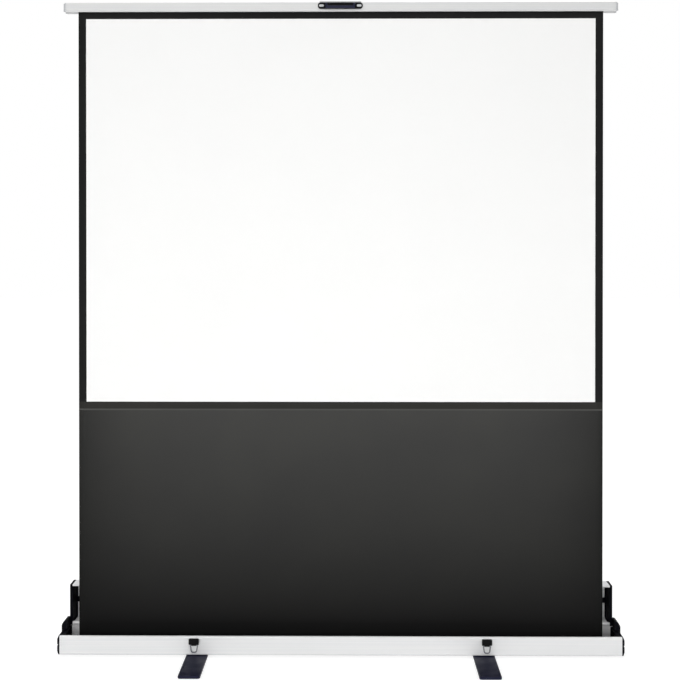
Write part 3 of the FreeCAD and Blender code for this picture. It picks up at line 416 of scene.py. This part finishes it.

# Finishes of single pieces. The die lines of the arms run along them, so they follow the raised angle.
# End caps: blue-black, with their edges painted much paler as a painted highlight on the rounded edges
cap_plastic = moulded_plastic(
    "moulded_blue_black_polyamide", "030309", "2A2B36", roughness=0.65, specular=0.08,
)
rising_arm = mill_finish("mill_finish_bar_rising", -RAISED_ANGLE)
falling_arm = mill_finish("mill_finish_bar_falling", RAISED_ANGLE)
ring_wire = plated_steel("drawn_steel_wire", "8A8D92", "75787D", roughness=0.4)
piece_finishes = {
    "top_bar": satin_anodised("satin_anodised_bar_profile", "DEDEDD", "D6D7D8", gloss=0.5),
    # Grip: a paler copy of the navy plastic, painted lighter for the light that falls on its face
    "handle_grip": moulded_plastic(
        "moulded_navy_grip_painted_light", "14172E", "262A44", roughness=0.5, specular=0.28,
    ),
    "lower_fixed_arm": rising_arm,
    "upper_sliding_arm": rising_arm,
    "lower_sliding_arm": falling_arm,
    "upper_fixed_arm": falling_arm,
    "latch_bail_left": ring_wire,
    "latch_bail_right": ring_wire,
}
for name in nodes:
    if "end_cap" in name:
        piece_finishes[name] = cap_plastic
for name, finish in piece_finishes.items():
    nodes[name].material_slots[0].material = finish

# Materials of the cloth. The white face reflects, the black coat masks, and the grey-black back stops
# light from behind. The drop and the overlap under the white area are a little paler, and the seam's paler
# tone is a painted highlight.
white_face = coated_cloth("matt_white_screen_coat", "FCFCFB", "FBFBFA", roughness=0.85, specular=0.25)
black_border = coated_cloth("black_masking_coat", "1D1D1D", "181818", roughness=0.8, specular=0.15)
# The drop cloth carries painted shade: darker towards the case and towards its side hems
drop_cloth = coated_cloth(
    "black_drop_cloth", "434341", "3F3F3E", roughness=0.8, specular=0.15, with_drop_shade=True,
)
back_coat = coated_cloth("black_light_stop_backing", "232324", "1D1D1E", roughness=0.7, specular=0.3)
# Seam: its paler colour is a painted highlight where the raised weld catches the light
seam_highlight_cloth = coated_cloth("welded_black_seam", "4C4C4A", "464644", roughness=0.7, specular=0.2)
foot_border = coated_cloth("black_masking_overlap", "302F2D", "2B2B29", roughness=0.75, specular=0.15)

# Materials of the sheet's faces, and their numbers
sheet_materials = [white_face, black_border, drop_cloth, back_coat, foot_border]
WHITE, BORDER, DROP, BACK, OVERLAP = range(len(sheet_materials))


# Steps from start up to end, without the end
def between(start, end, count):
    return [start + (end - start) * k / count for k in range(count)]


# How far the cloth leans forward at a place. At its foot and its top it is held and doesn't lean.
def cloth_lean(x, z):
    along = (z - cloth_low[2]) / cloth_height
    free = math.sqrt(math.sin(math.pi * min(max(along, 0), 1)))
    wave = math.sin(2 * math.pi * x / WAVE_LENGTH + WAVE_SHIFT) * math.cos(math.pi * along * WAVE_SWING)
    return free * WAVE_DEPTH * (1 + wave) / 2


# Material number of the sheet's front at a place
def front_material(x, z):
    if z < drop_top:
        return DROP
    if z < view_bottom:
        return OVERLAP
    if abs(x) < view_side and z < view_top:
        return WHITE
    return BORDER


# Screen cloth: one closed sheet from the roller up into the bar's groove
def screen_sheet():
    xs = [-half_width] + between(-view_side, view_side, CLOTH_COLUMNS) + [view_side, half_width]
    zs = between(cloth_low[2], drop_top, DROP_ROWS) + between(drop_top, view_bottom, BORDER_ROWS)
    zs += between(view_bottom, view_top, VIEW_ROWS) + between(view_top, cloth_high[2], BORDER_ROWS)
    zs += [cloth_high[2]]
    form = bmesh.new()
    front, back = [
        [[form.verts.new((x, y - cloth_lean(x, z), z)) for x in xs] for z in zs]
        for y in (cloth_low[1], cloth_high[1])
    ]
    last_row = len(zs) - 1
    last_column = len(xs) - 1
    for row in range(last_row):
        for column in range(last_column):
            centre_x = (xs[column] + xs[column + 1]) / 2
            centre_z = (zs[row] + zs[row + 1]) / 2
            for skin in (front, back):
                corners = [
                    skin[row][column], skin[row][column + 1],
                    skin[row + 1][column + 1], skin[row + 1][column],
                ]
                face = form.faces.new(corners if skin is front else corners[::-1])
                face.smooth = True
                face.material_index = front_material(centre_x, centre_z) if skin is front else BACK
    rim = [(0, column) for column in range(last_column)]
    rim += [(row, last_column) for row in range(last_row)]
    rim += [(last_row, column) for column in range(last_column, 0, -1)]
    rim += [(row, 0) for row in range(last_row, 0, -1)]
    for (row, column), (next_row, next_column) in zip(rim, rim[1:] + rim[:1]):
        face = form.faces.new([
            front[next_row][next_column], front[row][column],
            back[row][column], back[next_row][next_column],
        ])
        face.material_index = BORDER
    return form


# Welded seam under the black border: a strip just proud of the cloth
def seam_strip():
    low = drop_top - SEAM_HEIGHT
    section = (
        (low, SEAM_GAP), (low, SEAM_THICKNESS), (drop_top, SEAM_THICKNESS), (drop_top, SEAM_GAP),
    )
    form = bmesh.new()
    rings = []
    for x in between(-half_width, half_width, CLOTH_COLUMNS) + [half_width]:
        ring = []
        for z, proud in section:
            ring.append(form.verts.new((x, cloth_low[1] - cloth_lean(x, z) - proud, z)))
        rings.append(ring)
    corners = len(section)
    for first, second in zip(rings, rings[1:]):
        for k in range(corners):
            following = (k + 1) % corners
            form.faces.new([first[k], first[following], second[following], second[k]])
    form.faces.new(rings[0][::-1])
    form.faces.new(rings[-1])
    bmesh.ops.recalc_face_normals(form, faces=form.faces)
    return form


# Radius of the dead turns' inner side, from the tube that they lie on
tube_low, tube_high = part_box("roller_tube")
turns_radius = (tube_high[2] - tube_low[2]) / 2 + WRAP_GAP


# Dead turns of cloth round the roller: one spiral whose outer edge lies where the sheet leaves
def wound_spiral():
    low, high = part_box("wound_fabric")
    axis_y = (low[1] + high[1]) / 2
    axis_z = (low[2] + high[2]) / 2
    form = bmesh.new()
    ends = []
    for x in (low[0], high[0]):
        sides = []
        for thickness in (0, WRAP_CLOTH):
            side = []
            for k in range(WRAP_STEPS + 1):
                turn = WRAP_TURNS * k / WRAP_STEPS
                angle = math.pi + 2 * math.pi * (turn - WRAP_TURNS)
                radius = turns_radius + (WRAP_CLOTH + WRAP_GAP / 2) * turn + thickness
                place = (x, axis_y + radius * math.cos(angle), axis_z + radius * math.sin(angle))
                side.append(form.verts.new(place))
            sides.append(side)
        inner, outer = sides
        ends.append(inner + outer[::-1])
    left, right = ends
    count = len(left)
    for k in range(count):
        following = (k + 1) % count
        face = form.faces.new([left[k], left[following], right[following], right[k]])
        face.smooth = True
    for end in ends:
        for k in range(WRAP_STEPS):
            form.faces.new([end[k], end[k + 1], end[count - 2 - k], end[count - 1 - k]])
    bmesh.ops.recalc_face_normals(form, faces=form.faces)
    return form


# Makes a piece of the cloth from its form and lets it ride on a body
def cloth_piece(name, form, body, materials):
    mesh = bpy.data.meshes.new(name)
    form.to_mesh(mesh)
    form.free()
    for material in materials:
        mesh.materials.append(material)
    piece = bpy.data.objects.new(name, mesh)
    bpy.context.scene.collection.objects.link(piece)
    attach(piece, body)
    return piece


sheet = cloth_piece("screen_sheet", screen_sheet(), "base", sheet_materials)
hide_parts("screen_fabric")
seam = cloth_piece("drop_seam", seam_strip(), "base", [seam_highlight_cloth])
turns = cloth_piece("wound_turns", wound_spiral(), "roller", [back_coat])
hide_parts("wound_fabric")

# The sheet and its seam each get a mesh of their own; on the real screen they shorten down to the roller
# as it folds
for piece in (sheet, seam):
    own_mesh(piece)


# The floor takes soft shadows, and for rays that see it directly or in a mirror it glows towards white
def build_floor():
    half = FLOOR_SIZE / 2
    corners = [(x * half, y * half, -FLOOR_DROP) for x, y in ((-1, -1), (1, -1), (1, 1), (-1, 1))]
    mesh = bpy.data.meshes.new("floor")
    mesh.from_pydata(corners, [], [(0, 1, 2, 3)])
    material, tree = new_material("pale_floor")
    path = add(tree, "ShaderNodeLightPath")
    seen = path.outputs["Is Camera Ray"]
    for ray in ("Is Glossy Ray", "Is Transmission Ray"):
        both = add(tree, "ShaderNodeMath", {0: seen, 1: path.outputs[ray]}, operation="ADD")
        seen = both.outputs["Value"]
    strength = add(tree, "ShaderNodeMath", {0: seen, 1: FLOOR_GLOW}, operation="MULTIPLY")
    diffuse = add(tree, "ShaderNodeBsdfDiffuse", {"Color": (FLOOR_SHADE, FLOOR_SHADE, FLOOR_SHADE, 1.0)})
    glow = add(tree, "ShaderNodeEmission", {"Color": (1, 1, 1, 1), "Strength": strength.outputs["Value"]})
    total = add(tree, "ShaderNodeAddShader", {0: diffuse.outputs["BSDF"], 1: glow.outputs["Emission"]})
    add(tree, "ShaderNodeOutputMaterial", {"Surface": total.outputs["Shader"]})
    mesh.materials.append(material)
    floor = bpy.data.objects.new("floor", mesh)
    bpy.context.scene.collection.objects.link(floor)


# The camera sees plain white, mirrors see the bright walls, and all else is lit by the softer dome
def build_world():
    world = bpy.data.worlds.new("white_studio")
    bpy.context.scene.world = world
    world.use_nodes = True
    tree = world.node_tree
    tree.nodes.clear()
    direction = add(tree, "ShaderNodeTexCoord").outputs["Generated"]
    height = add(tree, "ShaderNodeSeparateXYZ", {"Vector": direction}).outputs["Z"]
    dome = add(tree, "ShaderNodeMapRange", {"Value": height, **DOME_LIGHT}).outputs["Result"]
    walls = add(tree, "ShaderNodeMapRange", {"Value": height, **MIRRORED_WALLS}).outputs["Result"]
    path = add(tree, "ShaderNodeLightPath")
    lit = add(
        tree, "ShaderNodeMix",
        {"Factor": path.outputs["Is Glossy Ray"], FIRST_VALUE: dome, SECOND_VALUE: walls},
        data_type="FLOAT",
    )
    strength = add(
        tree, "ShaderNodeMix",
        {"Factor": path.outputs["Is Camera Ray"], FIRST_VALUE: lit.outputs["Result"], SECOND_VALUE: 1.0},
        data_type="FLOAT",
    )
    background = add(
        tree, "ShaderNodeBackground", {"Color": (1, 1, 1, 1), "Strength": strength.outputs["Result"]},
    )
    add(tree, "ShaderNodeOutputWorld", {"Surface": background.outputs["Background"]})


# Softbox at a place, aimed at a height over the middle of the case, with its size in metres
def soft_light(name, place, aim_height, size, watts, mirrored=False):
    lamp = bpy.data.lights.new(name, "AREA")
    lamp.shape = "RECTANGLE"
    lamp.size, lamp.size_y = size
    lamp.energy = watts
    light = bpy.data.objects.new(name, lamp)
    light.location = place
    light.visible_glossy = mirrored
    sight = Vector((0, 0, aim_height)) - Vector(place)
    light.rotation_euler = sight.to_track_quat("-Z", "Y").to_euler()
    bpy.context.scene.collection.objects.link(light)


def build_camera():
    camera = bpy.data.objects.new("camera", bpy.data.cameras.new("camera"))
    camera.data.lens = CAMERA_LENS
    camera.data.shift_y = CAMERA_SHIFT
    camera.location = (CAMERA_OFFSET, -CAMERA_DISTANCE, CAMERA_HEIGHT)
    camera.rotation_euler = (math.radians(90 - CAMERA_PITCH), 0, math.radians(CAMERA_YAW))
    bpy.context.scene.collection.objects.link(camera)
    bpy.context.scene.camera = camera


build_floor()
build_world()
soft_light("key_softbox", (-2.0, -4.4, 4.6), aim_height=1.0, size=(3.6, 2.0), watts=42)
soft_light("front_softbox", (-0.5, -4.7, 1.1), aim_height=0.7, size=(3.4, 1.4), watts=72)
soft_light("low_softbox", (0.0, -2.2, 0.36), aim_height=0.1, size=(3.2, 0.24), watts=10)
soft_light("fill_softbox", (3.6, -3.0, 2.6), aim_height=0.9, size=(2.2, 2.2), watts=11)
soft_light("top_softbox", (0, 1.8, 4.2), aim_height=0.8, size=(3.2, 1.4), watts=23, mirrored=True)
build_camera()
bpy.context.scene.view_settings.view_transform = "Standard"
